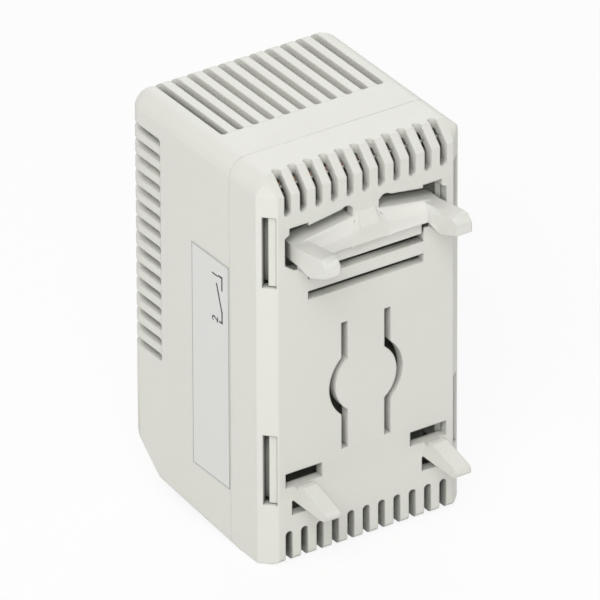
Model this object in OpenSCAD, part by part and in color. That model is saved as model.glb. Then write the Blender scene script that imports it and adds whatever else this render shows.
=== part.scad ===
// Compact thermostat that clips onto a 35 mm top-hat rail.
// +Z is up, +Y points out of the rail face, and the front with the dial faces -Y.
// The origin is on the rail face, at the centre line of the rail.
// Heights below are measured from the lowest point of the housing.

/* [Housing] */
// Width of the housing
body_w = 33; // [32:0.5:36]
// Height of the housing
body_h = 60; // [59:0.5:63]
// Depth from the rail face to the front face
body_d = 34.3; // [34:0.1:36]
// Thickness of the housing walls
wall = 1.5; // [1.3:0.1:1.6]
// Radius of the rounded front, top and side edges
edge_r = 3; // [2.2:0.1:3.4]
// Width of the bevel along each upright rear edge
rear_bevel = 2.2; // [2:0.1:2.4]
// Height and depth of the bevel along the top rear edge
top_bevel = 2.6; // [2:0.1:3]
// Radius that softens the edges of the bevels
soft_r = 0.8; // [0.5:0.1:1]
// Distance from the rail face to the seam between the two shells
seam_d = 8.8; // [8:0.1:9.5]
// Rise of the underside where the sloped front face starts
under_rise = 1.7; // [1:0.1:2.2]
// Depth of the sloped face at the bottom of the front
slant_d = 7.6; // [7:0.1:8.2]
// Height of the sloped face at the bottom of the front
slant_h = 6.1; // [5:0.1:7]

/* [Vents] */
// Distance between neighbouring upright vents
vent_pitch = 2.54; // [2.4:0.02:2.6]
// Width of every vent
vent_w = 1.15; // [0.9:0.05:1.3]
// Number of vents across the housing
vent_count = 11; // [7:2:11]
// Height at which the rear top vents start
rear_vent_z = 54.25; // [53.8:0.05:55]
// Depth to which the rear vents run over the top and the underside
rear_vent_d = 2.5; // [2.2:0.1:2.5]
// Height of the vents at the bottom of the rear face
low_vent_h = 4.8; // [4:0.1:5.2]
// Distance from the rail face to the start of the top vents
top_vent_d = 15.3; // [14:0.1:18]
// Length of the top vents down the front face
front_vent_h = 5.5; // [4.5:0.1:6.5]
// Number of vents in each side
side_vent_count = 15; // [8:1:15]
// Distance between neighbouring side vents
side_vent_pitch = 2.41; // [2.3:0.01:2.45]
// Height of the lowest side vent
side_vent_z = 21; // [20:0.1:22]
// Distance from the rail face to the start of the side vents
side_vent_d = 25.9; // [24:0.1:28]

/* [Rail clip] */
// Height of the mounting rail
rail_h = 35; // [35:0.1:35.4]
// Spare height in the clip for the rail
rail_play = 0.2; // [0.1:0.05:0.3]
// Thickness of the rail's flange, with its clearance
rail_slot = 1.1; // [1.05:0.05:1.3]
// Height at which the rail's top edge sits
rail_top_z = 46.94; // [46.8:0.02:47.2]
// How far the hooks stand out of the rail face
hook_reach = 8; // [7.6:0.1:8.4]
// Width of each hook
hook_w = 2.5; // [2:0.1:2.8]
// Distance from the middle to the centre of each hook
hook_x = 10.7; // [10.5:0.1:10.8]
// How far the top hooks reach over the rail's edge
hook_lip = 0.5; // [0.3:0.05:0.7]
// How far the bottom fingers reach over the rail's edge
finger_lip = 0.7; // [0.4:0.05:0.9]
// Height of the nose of the top hooks
hook_nose_r = 1.75; // [1.5:0.05:1.9]
// Thickness of the clip arms, across the rail face
arm_t = 3; // [2.5:0.1:3.4]
// How far the rib on the clip arms stands out
rib_out = 1.1; // [0.8:0.05:1.3]
// Radius of the round root that the arms bend about
arm_root_r = 3.2; // [2.9:0.05:3.3]
// Clearance round the root of the arms
arm_gap = 0.06; // [0.03:0.01:0.1]
// Clearance at the lower outer corner of the arms
arm_side_gap = 0.35; // [0.3:0.01:0.5]

/* [Rear face] */
// Half the width of the two long slots under the clip
slot_half_w = 9.45; // [9.3:0.05:9.6]
// Height of the two long slots
slot_h = 1.3; // [1:0.05:1.5]
// Height of the upper edge of the first slot
slot_z = 44.8; // [44.6:0.05:45]
// Distance between the two slots
slot_pitch = 3.2; // [3:0.05:3.6]
// Width of the two curved slots
curve_w = 1.05; // [0.8:0.05:1.2]
// Inner radius of the bulge in the curved slots
curve_r = 5; // [4.6:0.1:5.4]
// Height of the centre of the bulge
curve_z = 25; // [24:0.1:26]
// Distance between the straight parts of the curved slots
curve_gap = 6; // [5.6:0.1:6.4]
// Length of the curved slots
curve_h = 19.9; // [18:0.1:21]

/* [Latches] */
// Height of each latch window
latch_h = 11; // [10:0.1:12]
// Height at which the lower latch windows start
latch_low_z = 9.3; // [9:0.1:10]
// Height at which the upper latch windows start
latch_high_z = 43.4; // [43:0.1:44]
// Width of the latch windows, along the bevel
latch_w = 2; // [1.8:0.05:2.1]
// Width of the snap tongues in the windows
tongue_w = 1.1; // [1:0.05:1.5]
// How deep the tongues lie under the bevel
tongue_deep = 0.5; // [0.3:0.05:0.7]

/* [Dial] */
// Radius of the setting dial
dial_r = 9; // [8:0.1:9.4]
// Height of the dial's centre
dial_z = 36; // [35:0.1:37]
// How far the dial stands out of the front face
dial_out = 0.7; // [0.5:0.05:1]
// Thickness of the dial's disc
dial_t = 1.9; // [1.7:0.05:2]
// Radius of the hub that turns in the front wall
hub_r = 4; // [3.6:0.1:4.4]
// Clearance of a turning fit
run_gap = 0.05; // [0.03:0.01:0.08]
// Clearance round the dial in its recess
dial_gap = 0.35; // [0.25:0.05:0.5]
// Width of the screwdriver slot in the dial
driver_w = 1.3; // [1:0.1:1.6]
// Number of grip notches round the dial
grip_count = 36; // [24:2:40]

/* [Mechanism] */
// Radius of the threaded setting spindle
spindle_r = 2; // [1.8:0.05:2.2]
// Travel of the spindle over the whole dial
spindle_travel = 0.62; // [0.5:0.01:0.7]
// Width across the square end of the spindle
square_w = 3; // [2.6:0.1:3.2]
// Radius of the threaded bush
bush_r = 3.4; // [3.1:0.05:3.8]
// Thickness of the setting lever
lever_t = 1.2; // [1:0.05:1.4]
// Radius of the lever's pin
pin_r = 1; // [0.8:0.05:1.2]
// Height of the lever's pin
pin_z = 28; // [27:0.1:29]
// Width of the bimetal strip
bimetal_w = 6; // [5:0.1:6.6]
// Thickness of the bimetal strip
bimetal_t = 0.5; // [0.3:0.05:0.7]
// Thickness of the current strips
strip_t = 0.8; // [0.6:0.05:1]
// Radius of the contact buttons
contact_r = 1.8; // [1.4:0.1:2.2]
// Height of a contact button over its strip
contact_t = 0.6; // [0.5:0.05:0.8]
// Thickness of the walls of the inner carrier
carrier_t = 1.5; // [1.2:0.1:1.8]

/* [Terminals] */
// Distance from the middle to each terminal
terminal_x = 8.5; // [8:0.1:8.8]
// Height of the terminal screws
terminal_z = 11.5; // [11:0.1:12]
// Radius of the terminal screw's shank
screw_r = 1.7; // [1.5:0.05:1.8]
// Radius of the terminal screw's head
screw_head_r = 2.9; // [2.6:0.05:3.1]
// Radius of the screwdriver hole in the front
access_r = 2.5; // [2.2:0.05:2.55]
// Radius of the wire entry in the underside
entry_r = 1.75; // [1.5:0.05:1.9]
// Width of the clamp cage
cage_w = 7.2; // [6.6:0.1:7.6]
// Height of the clamp cage
cage_h = 6.6; // [6:0.1:7]
// Travel of the clamp cage
cage_travel = 1.5; // [1.2:0.05:1.6]

/* [Label] */
// Height of the label on the side
label_h = 34.7; // [30:0.1:35]
// Width of the label
label_w = 9; // [8:0.1:9.2]
// Thickness of the label
label_t = 0.12; // [0.08:0.01:0.2]
// Height of the label's lower edge
label_z = 8.5; // [8.2:0.1:10]

/* [Hidden] */
$fn = 48;

shell_grey = [0.86, 0.86, 0.83];
over = 0.4; // overrun of every cut
edge_step = 0.3; // how much less round the top side edges are
corner_steps = 7; // steps of the curved nose
half_w = body_w / 2;
mid_z = rail_top_z - (rail_h + rail_play) / 2; // height of the origin
seat_z = mid_z - (rail_h + rail_play) / 2; // height of the rail's lower edge

// Geometry helpers: outlines are lists of points that run anticlockwise
function unit(v) = v / norm(v);
function meet(p, u, q, v) = p + u * cross(q - p, v) / cross(u, v);
function left(u) = [-u.y, u.x];
function at(path, i) = path[(i + len(path)) % len(path)];
function heading(path, i) = unit(at(path, i + 1) - at(path, i));
// The outline moved inwards by t
function inset(path, t) = [for (i = [0 : len(path) - 1]) let (u = heading(path, i - 1), v = heading(path, i))
    meet(at(path, i) + t * left(u), u, at(path, i) + t * left(v), v)];
// What lies outside a quarter round of radius r at the corner p, which points towards s
module outside_round(r, p, s) translate(p) scale(s) difference() {
    translate([-r, -r]) square(r + over);
    translate([-r, -r]) circle(r);
}

// Outlines of the housing from the side (y, z), from above (x, y) and from the front (x, z), t under the surface
under_flat = rear_bevel * 3; // depth of the level part of the underside
side_path = [[-body_d, body_h], [-body_d, under_rise + slant_h], [-body_d + slant_d, under_rise],
    [-under_flat, 0], [0, 0], [0, body_h - top_bevel], [-top_bevel, body_h]];
plan_path = [[half_w, -rear_bevel], [half_w - rear_bevel, 0], [-half_w + rear_bevel, 0], [-half_w, -rear_bevel],
    [-half_w, -body_d], [half_w, -body_d]];
top_r = edge_r - edge_step;
module side_shape(t) difference() {
    polygon(inset(side_path, t));
    outside_round(edge_r - t, [-body_d + t, body_h - t], [-1, 1]);
    if (t < soft_r) outside_round(soft_r - t, [-t, t], [1, -1]);
}
module plan_shape(t) difference() {
    polygon(inset(plan_path, t));
    for (side = [-1, 1]) outside_round(edge_r - t, [side * (half_w - t), -body_d + t], [side, -1]);
}
module face_shape(t) difference() {
    translate([-half_w + t, t]) square([body_w - t * 2, body_h - t * 2]);
    for (side = [-1, 1]) outside_round(top_r - t, [side * (half_w - t), body_h - t], [side, 1]);
}

module lowered() translate([0, 0, -mid_z]) children();
// Extrudes an outline drawn as (y, z) along x, centred on x = 0
module along_x(length) rotate([90, 0, 90]) linear_extrude(length, center = true) children();
// Extrudes an outline drawn as (x, z) from y = front to y = back
module along_y(front, back) translate([0, back, 0]) rotate([90, 0, 0]) linear_extrude(back - front) children();
// A box given by its two corners
module span(a, b) translate([min(a.x, b.x), min(a.y, b.y), min(a.z, b.z)])
    cube([abs(b.x - a.x), abs(b.y - a.y), abs(b.z - a.z)]);
// A round bar along y
module rod_y(r, front, back, x = 0, z = 0) translate([x, back, z]) rotate([90, 0, 0]) cylinder(h = back - front, r = r);
// A round bar along x
module rod_x(r, a, b, y, z) translate([a, y, z]) rotate([0, 90, 0]) cylinder(h = b - a, r = r);
// A round bar along z
module rod_z(r, low, high, x, y) translate([x, y, low]) cylinder(h = high - low, r = r);

// The solid inside the housing's outer surface, or t under it
module housing_form(t = 0) intersection() {
    along_x(body_w * 2) side_shape(t);
    translate([0, 0, -body_h]) linear_extrude(body_h * 3) plan_shape(t);
    along_y(-body_d * 2, body_d) face_shape(t);
}
module shell(front, back) intersection() {
    difference() {
        housing_form();
        housing_form(wall);
    }
    span([-body_w, front, -body_h], [body_w, back, body_h * 2]);
}

module across_vents() for (i = [0 : vent_count - 1]) translate([(i - (vent_count - 1) / 2) * vent_pitch, 0, 0]) children();
// A round-ended vent through the wall that is normal to y, standing from low to high
module vent_y(low, high, front, back) {
    span([-vent_w / 2, front, low + vent_w / 2], [vent_w / 2, back, high]);
    rod_y(vent_w / 2, front, back, 0, low + vent_w / 2);
}

// Front shell
skin = wall + over; // depth of the cuts that go through a wall
front_in = -body_d + skin;
bottom_vent_z = body_h - front_vent_h;
module top_vent() {
    span([-vent_w / 2, -body_d - over, body_h - skin - over], [vent_w / 2, -top_vent_d - vent_w / 2, body_h + over]);
    rod_z(vent_w / 2, body_h - skin, body_h + over, 0, -top_vent_d - vent_w / 2);
    vent_y(bottom_vent_z, body_h - skin, -body_d - over, front_in);
    span([-vent_w / 2, -body_d - over, body_h - edge_r], [vent_w / 2, -body_d + edge_r, body_h + over]);
}
module side_vent() {
    span([half_w - edge_r, -body_d - over, -vent_w / 2], [half_w + over, front_in, vent_w / 2]);
    span([half_w - skin, -body_d, -vent_w / 2], [half_w + over, -side_vent_d - vent_w / 2, vent_w / 2]);
    rod_x(vent_w / 2, half_w - skin, half_w + over, -side_vent_d - vent_w / 2, 0);
}
module each_side() for (side = [-1, 1]) scale([side, 1, 1]) children();
module each_latch() for (z = [latch_low_z, latch_high_z]) translate([0, 0, z]) each_side() children();

// Points of the upright rear corner: s runs along the bevel from the side, d lies under it
bevel_len = rear_bevel * sqrt(2);
latch_share = 0.27; // place of the window along the bevel
latch_s = bevel_len * latch_share;
function bevel_at(s, d) = [half_w - (s + d) / sqrt(2), -rear_bevel + (s - d) / sqrt(2)];
tongue_s = latch_s + latch_w - tongue_w - run_gap * 2;
tongue_in = wall + arm_side_gap; // how deep the tongue's root runs under the side
tongue_t = 1.3;
tongue_root = seam_d + wall * 2;
tongue_play = 0.15;
tongue_outline = [[half_w - tongue_in - tongue_t, -tongue_root], [half_w - tongue_in, -tongue_root],
    [half_w - tongue_in, -rear_bevel - wall], bevel_at(tongue_s, tongue_in), bevel_at(tongue_s, tongue_deep),
    bevel_at(tongue_s + tongue_w, tongue_deep), bevel_at(tongue_s + tongue_w, tongue_in + soft_r),
    [half_w - tongue_in - tongue_t, -rear_bevel - wall]];
tongue_pad = [[half_w - tongue_in - tongue_t, -tongue_root - wall * 2], [half_w - wall + run_gap, -tongue_root - wall * 2],
    [half_w - wall + run_gap, -tongue_root + over], [half_w - tongue_in - tongue_t, -tongue_root + over]];
module tongue() linear_extrude(latch_h - tongue_play * 2) {
    polygon(tongue_outline);
    polygon(tongue_pad);
}

recess_r = dial_r + dial_gap;
recess_in = -body_d - dial_out + dial_t + run_gap; // y of the recess floor
boss_t = 1.5;
guide_t = 1; // wall of the round guides in the shell
entry_h = 5.2; // height of the top of the wire guides
guide_low = under_rise + wall - run_gap * 3;
collar_back = -body_d + wall + soft_r / 2; // y of the inner end of the screwdriver holes
entry_back = 8.8;
entry_y = -body_d + entry_back;
module front_cover() color(shell_grey) lowered() {
    difference() {
        union() {
            shell(-body_d - over, -seam_d);
            rod_y(recess_r + guide_t, -body_d + wall / 2, recess_in + boss_t, 0, dial_z);
            each_side() {
                rod_z(entry_r + guide_t, guide_low, entry_h, terminal_x, entry_y);
                rod_y(access_r + guide_t, -body_d + wall / 2, collar_back, terminal_x, terminal_z);
            }
        }
        rod_y(recess_r, -body_d - over, recess_in, 0, dial_z);
        rod_y(hub_r + run_gap, -body_d - over, recess_in + boss_t + over, 0, dial_z);
        each_side() {
            rod_z(entry_r, -over, entry_h + over, terminal_x, entry_y);
            rod_y(access_r, -body_d - over, collar_back + over, terminal_x, terminal_z);
        }
        across_vents() top_vent();
        for (i = [0 : side_vent_count - 1]) translate([0, 0, side_vent_z + i * side_vent_pitch]) each_side() side_vent();
    }
    each_latch() translate([0, 0, tongue_play]) tongue();
}

// Rear shell
rear_vent_mid = rear_vent_z + vent_w / 2; // height of the centre of the round end
low_vent_mid = low_vent_h - vent_w / 2;
module rear_vent() {
    along_x(vent_w) polygon([[over, rear_vent_mid], [over, body_h + over], [-rear_vent_d, body_h + over],
        [-rear_vent_d, body_h - skin], [-skin, body_h - skin - top_bevel / 2], [-skin, rear_vent_mid]]);
    rod_y(vent_w / 2, -skin, over, 0, rear_vent_mid);
}
module low_vent() {
    along_x(vent_w) polygon([[over, -over], [over, low_vent_mid], [-skin, low_vent_mid], [-skin, skin],
        [-rear_vent_d, skin], [-rear_vent_d, -over]]);
    rod_y(vent_w / 2, -skin, over, 0, low_vent_mid);
}
half_gap = curve_gap / 2;
bulge_r = curve_r + curve_w;
module curved_slot() translate([0, curve_z]) {
    intersection() {
        difference() {
            circle(bulge_r);
            circle(curve_r);
        }
        translate([half_gap, -bulge_r]) square([bulge_r, bulge_r * 2]);
    }
    straight = sqrt(bulge_r * bulge_r - pow(half_gap + curve_w, 2));
    for (side = [-1, 1]) scale([1, side]) translate([half_gap, straight - soft_r / 2])
        square([curve_w, curve_h / 2 - straight + soft_r / 2]);
}

// The clip: heights of the arms' edges, at the root and at the hook
web_half = 2.1; // half the width of the web that carries the arms
web_z = 48; // height of the centre that the arms bend about
arm_top_in = 51;
arm_top_out = 49.9;
gap_top_in = 52.75;
gap_top_out = 51.85;
gap_end_x = 3.2;
window_gap = 0.15;
window_in = hook_x - hook_w / 2 - window_gap;
window_out = 13.2;
window_low = 45.6;
window_high = 52.3;
window_step = 50.9;
window_step_in = 12.45;
rib_top_in = 49.2;
rib_top_out = 48.1;
lower_slot_z = slot_z - slot_pitch;
module clip_opening() {
    difference() {
        union() {
            polygon([[web_half, slot_z - slot_h / 2], [slot_half_w, slot_z - slot_h / 2], [slot_half_w, window_low],
                [window_out - wall, window_low], [window_out, window_low + wall - soft_r / 2], [window_out, window_step],
                [window_step_in, window_step + soft_r / 2], [window_step_in, window_high], [window_in, window_high],
                [window_in, gap_top_out], [gap_end_x, gap_top_in], [web_half, gap_top_in - soft_r / 2]]);
            translate([gap_end_x, (arm_top_in + gap_top_in) / 2]) circle((gap_top_in - arm_top_in) / 2 + over / 2);
        }
        translate([0, web_z]) circle(arm_root_r);
        translate([-over, slot_z - slot_h]) square([web_half + over, body_h]);
    }
}
finger_window_z = seat_z; // the window frees the lip of the finger
finger_window_h = 2.25;
finger_window_w = 6;
finger_window_x = 10.25;
port_w = 3;
port_low = 7.2;
finger_under = 9.45;
lip_y = rail_slot;
finger_nose_r = 0.75;
finger_rise = 0.15;
finger_step = 25;
module finger() translate([hook_x, 0, 0]) along_x(hook_w) polygon(concat(
    [[-wall / 2, finger_under], [hook_reach - finger_nose_r * 2, finger_under]],
    [for (k = [-3 : 3]) [hook_reach - finger_nose_r, finger_under + finger_nose_r + finger_rise]
        + finger_nose_r * [cos(k * finger_step), sin(k * finger_step)]],
    [[lip_y * 2, seat_z + finger_lip], [lip_y, seat_z + finger_lip - soft_r / 8], [lip_y, seat_z],
        [-wall / 2, seat_z]]));
rib_web = rib_top_in + (rib_top_in - rib_top_out) * web_half / (slot_half_w - web_half);
rib_tilt = atan((rib_web - rib_top_out) / hook_x);
web_profile = [[-wall / 2, rail_top_z - wall], [rib_out, rail_top_z - wall], [rib_out, rib_web],
    [0, arm_top_in + soft_r / 2], [-wall / 2, arm_top_in + soft_r / 2]];
// The middle of the rib, which the arms carry on at both sides
module web_rib() intersection() {
    each_side() translate([0, 0, rib_web]) rotate([0, rib_tilt, 0]) translate([arm_root_r / 2, 0, -rib_web])
        along_x(arm_root_r * 2) polygon(web_profile);
    difference() {
        union() {
            rod_y(arm_root_r, -wall, rib_out + over, 0, web_z);
            span([-web_half, -wall, rail_top_z - wall], [web_half, rib_out + over, body_h]);
        }
        span([-body_w, 0, 0], [body_w, rib_out + over * 2, rail_top_z]);
    }
}
lap_t = 0.8;
lap_d = 2.2;
// The rim that fits inside the front shell
module lap() difference() {
    union() {
        intersection() {
            housing_form(wall + run_gap);
            span([-half_w, -seam_d - lap_d, -over], [half_w, -seam_d + soft_r, body_h]);
        }
        intersection() {
            housing_form(wall / 2);
            span([-half_w, -seam_d, -over], [half_w, -seam_d + wall, body_h]);
        }
    }
    housing_form(wall + run_gap + lap_t);
    each_latch() span([half_w - tongue_in - tongue_t - over, -seam_d - lap_d - over, -over],
        [half_w + over, -seam_d + wall + over, latch_h + over]);
}
module rear_cuts() {
    along_y(-skin, over) {
        for (z = [slot_z, lower_slot_z]) translate([-slot_half_w, z - slot_h]) square([slot_half_w * 2, slot_h]);
        for (side = [-1, 1]) scale([side, 1]) {
            clip_opening();
            curved_slot();
            translate([finger_window_x - finger_window_w / 2, finger_window_z]) square([finger_window_w, finger_window_h]);
            translate([hook_x - port_w / 2, port_low]) square([port_w, finger_under - port_low]);
        }
    }
    across_vents() {
        rear_vent();
        low_vent();
    }
    each_latch() linear_extrude(latch_h) polygon([bevel_at(latch_s, -over), bevel_at(latch_s + latch_w, -over),
        bevel_at(latch_s + latch_w, wall + over * 2), bevel_at(latch_s, wall + over * 2)]);
}
module rear_base() color(shell_grey) lowered() {
    difference() {
        union() {
            shell(-seam_d, over);
            lap();
            each_side() finger();
            web_rib();
        }
        rear_cuts();
    }
}

// Clip arms
nose_low = 20;
nose_turn = 115;
nose_share = 0.54; // where the nose starts along the hook
module hook() translate([hook_x, 0, 0]) along_x(hook_w) polygon(concat(
    [[-wall, rail_top_z], [lip_y, rail_top_z], [lip_y, rail_top_z - hook_lip],
        [hook_reach * nose_share, rail_top_z - hook_lip]],
    [for (k = [0 : corner_steps]) let (a = -nose_low + nose_turn * k / corner_steps)
        [hook_reach - hook_nose_r, rail_top_z + hook_nose_r] + hook_nose_r * [cos(a), sin(a)]],
    [[0, arm_top_out - soft_r / 2], [-wall, arm_top_out - soft_r / 2]]));
arm_low_x = slot_half_w - arm_side_gap;
arm_bend = 6.2; // most that an arm bends up, in degrees
arm_lean = (arm_top_in + soft_r - web_z) * tan(arm_bend);
module arm() difference() {
    union() {
        along_y(-arm_t, 0) polygon([[0, slot_z], [arm_low_x, slot_z], [arm_low_x, rail_top_z],
            [hook_x + hook_w / 2, rail_top_z], [hook_x + hook_w / 2, arm_top_out - soft_r / 2],
            [slot_half_w, arm_top_out], [0, arm_top_in + soft_r / 2]]);
        hull() {
            along_y(-soft_r, 0) polygon([[0, rail_top_z], [hook_x, rail_top_z], [hook_x, arm_top_out - soft_r / 2],
                [slot_half_w, arm_top_out], [0, arm_top_in + soft_r / 2]]);
            along_y(0, rib_out) polygon([[0, rail_top_z], [hook_x, rail_top_z], [hook_x, rib_top_out],
                [0, rib_web]]);
        }
        hook();
    }
    rod_y(arm_root_r + arm_gap, -arm_t - over, rib_out + over, 0, web_z);
    along_y(-arm_t - over, rib_out + over) polygon([[-half_w, slot_z - over], [web_half + arm_gap, slot_z - over],
        [web_half + arm_gap, web_z], [web_half + arm_gap + arm_lean, arm_top_in + soft_r], [-half_w, arm_top_in + soft_r]]);
}
module clip_arm_left() color(shell_grey) lowered() arm();
module clip_arm_right() color(shell_grey) lowered() scale([-1, 1, 1]) arm();

// Places of the inner parts, as y from the rail face
carrier_front = -12.5;
lever_front = -17.6;
lever_back = lever_front + lever_t;
load_front = -16.6;
bimetal_back = load_front - contact_t * 2;
dome = 0.3; // flatness of the spindle's round end

// Dial
dial_front = -body_d - dial_out;
hub_spare = 1; // how far the hub stands out of its boss
hub_back = recess_in + boss_t + hub_spare;
driver_len = 9.9;
driver_deep = 1;
grip_r = 0.35;
module dial_knob() color([0.93, 0.93, 0.91]) lowered() difference() {
    union() {
        rod_y(dial_r, dial_front, dial_front + dial_t, 0, dial_z);
        rod_y(hub_r, dial_front, hub_back, 0, dial_z);
    }
    span([-square_w / 2 - run_gap, dial_front + driver_deep + wall, dial_z - square_w / 2 - run_gap],
        [square_w / 2 + run_gap, hub_back + over, dial_z + square_w / 2 + run_gap]);
    span([-driver_w / 2, dial_front - over, dial_z - driver_len / 2],
        [driver_w / 2, dial_front + driver_deep, dial_z + driver_len / 2]);
    translate([0, 0, dial_z]) for (i = [0 : grip_count - 1]) rotate([0, i * 360 / grip_count, 0])
        rod_y(grip_r, dial_front - over, dial_front + dial_out, dial_r, 0);
}
square_front = dial_front + driver_deep + wall + spindle_travel / 4;
square_spare = 0.6;
square_back = hub_back + square_spare;
tip_gap = 0.1;
spindle_tip = lever_front - spindle_r * dome - tip_gap;
module adjusting_spindle() color("darkgoldenrod") lowered() {
    span([-square_w / 2, square_front, dial_z - square_w / 2], [square_w / 2, square_back, dial_z + square_w / 2]);
    rod_y(spindle_r, square_back, spindle_tip, 0, dial_z);
    translate([0, spindle_tip, dial_z]) intersection() {
        scale([1, dome, 1]) sphere(spindle_r);
        span([-spindle_r, -over, -spindle_r], [spindle_r, spindle_r, spindle_r]);
    }
}

bridge_front = -25.5;
bridge_back = bridge_front + carrier_t * 2;
flange_t = 1;
module spindle_bush() color("goldenrod") lowered() difference() {
    union() {
        rod_y(bush_r, bridge_front, bridge_back, 0, dial_z);
        rod_y(bush_r + flange_t, bridge_back, bridge_back + flange_t, 0, dial_z);
    }
    rod_y(spindle_r + run_gap, bridge_front - over, bridge_back + flange_t + over, 0, dial_z);
}

// Inner carrier
plate_x = 11.8;
plate_low = 9;
plate_high = 50;
bridge_half = 4.8;
chamber_x = 13.6;
chamber_low = 8.8;
chamber_back = -18.6;
carrier_gap = 0.3;
chamber_front = -body_d + wall + carrier_gap;
strip_z = 15.2; // height of the level stretch of both strips
roof_z = strip_z + strip_t;
leg_x = 9.5;
leg_r = 1.8;
leg_low = 23;
leg_high = 38;
pin_y = -15.2;
ear_x = 3.6;
ear_t = 1.3;
ear_r = 2.2;
bimetal_x = -7;
magnet_w = 4.4;
magnet_h = 4;
magnet_z = 40;
magnet_gap = 0.6;
magnet_t = 2;
magnet_back = bimetal_back + magnet_gap + magnet_t;
post_r = 1.5;
load_x = 7.65;
load_w = 4.7;
load_high = 49;
contact_z = 47.2;
line_w = 5.2;
line_high = 20.5;
tab_w = 4.8;
tab_low = 7.9;
tab_y = -27.5;
spring_r = 2;
module inner_carrier() color([0.16, 0.16, 0.17]) lowered() difference() {
    union() {
        span([-plate_x, carrier_front, plate_low], [plate_x, carrier_front + carrier_t, plate_high]);
        each_side() {
            span([plate_x - carrier_t, bridge_front, dial_z - bridge_half], [plate_x, carrier_front, dial_z + bridge_half]);
            span([chamber_x - carrier_t + carrier_gap, chamber_front, chamber_low], [chamber_x, chamber_back, roof_z]);
            for (z = [leg_low, leg_high]) rod_y(leg_r, carrier_front + carrier_t, -wall, leg_x, z);
            rod_x(ear_r, ear_x, ear_x + ear_t, pin_y, pin_z);
            span([ear_x, pin_y, pin_z - ear_r], [ear_x + ear_t, carrier_front, pin_z + ear_r]);
        }
        span([-plate_x, bridge_front, dial_z - bridge_half], [plate_x, bridge_back, dial_z + bridge_half]);
        span([-carrier_t / 2, chamber_front, chamber_low], [carrier_t / 2, carrier_front, roof_z + carrier_t]);
        span([-chamber_x, chamber_front, roof_z], [chamber_x, chamber_back, roof_z + carrier_t]);
        span([bimetal_x - magnet_w / 2, magnet_back, magnet_z - magnet_h / 2],
            [bimetal_x + magnet_w / 2, carrier_front, magnet_z + magnet_h / 2]);
        for (z = [line_high, load_high - load_w]) rod_y(post_r, load_front + strip_t, carrier_front, load_x, z);
        rod_y(post_r, bimetal_back + strip_t, carrier_front, bimetal_x, line_high - post_r);
        rod_y(spring_r - spring_wire * 2, carrier_front - flange_t, carrier_front, 0, dial_z);
    }
    rod_y(bush_r, bridge_front - over, bridge_back + over, 0, dial_z);
    rod_x(pin_r, -ear_x - ear_t - over, ear_x + ear_t + over, pin_y, pin_z);
}
module magnet() color([0.3, 0.3, 0.32]) lowered() span(
    [bimetal_x - magnet_w / 2, magnet_back - magnet_t, magnet_z - magnet_h / 2],
    [bimetal_x + magnet_w / 2, magnet_back, magnet_z + magnet_h / 2]);

// Setting lever and its pin
lever_half = 2.4;
lever_high = 39;
lever_low = 20;
arm_reach = 8;
arm_low = pin_z + ear_r + tip_gap * 2;
module setting_lever() color("silver") lowered() difference() {
    union() {
        span([-lever_half, lever_front, lever_low], [lever_half, lever_back, lever_high]);
        each_side() {
            span([ear_x - arm_gap - ear_t, lever_front, pin_z - ear_r], [ear_x - arm_gap, pin_y, pin_z + ear_r]);
            rod_x(ear_r, ear_x - arm_gap - ear_t, ear_x - arm_gap, pin_y, pin_z);
        }
        span([-arm_reach, lever_front, arm_low], [0, lever_back, arm_low + lever_t]);
    }
    rod_x(pin_r + run_gap, -ear_x - over, ear_x + over, pin_y, pin_z);
}
module lever_pin() color("lightgrey") lowered() rod_x(pin_r, -ear_x - ear_t, ear_x + ear_t, pin_y, pin_z);

// Spring between the carrier and the lever, one unbroken coil of wire
spring_wire = 0.3;
spring_turns = 4;
spring_steps = 14;
spring_sides = 6;
spring_len = carrier_front - lever_back - spring_wire * 2 - tip_gap * 2;
function coil_point(k) = let (a = k * 360 / spring_steps)
    [spring_r * cos(a), lever_back + spring_wire + tip_gap + spring_len * k / (spring_turns * spring_steps),
        dial_z + spring_r * sin(a)];
function coil_ring(k) = let (a = k * 360 / spring_steps, out = [cos(a), 0, sin(a)])
    [for (j = [0 : spring_sides - 1]) let (b = j * 360 / spring_sides)
        coil_point(k) + spring_wire * (out * cos(b) + [0, 1, 0] * sin(b))];
module setting_spring() color("gainsboro") lowered() {
    rings = spring_turns * spring_steps;
    points = [for (k = [0 : rings]) each coil_ring(k)];
    faces = concat([[for (j = [0 : spring_sides - 1]) j]],
        [[for (j = [spring_sides - 1 : -1 : 0]) rings * spring_sides + j]],
        [for (k = [0 : rings - 1], j = [0 : spring_sides - 1]) let (a = k * spring_sides, n = (j + 1) % spring_sides)
            each [[a + j, a + spring_sides + j, a + spring_sides + n], [a + j, a + spring_sides + n, a + n]]]);
    polyhedron(points, faces);
}

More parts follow.
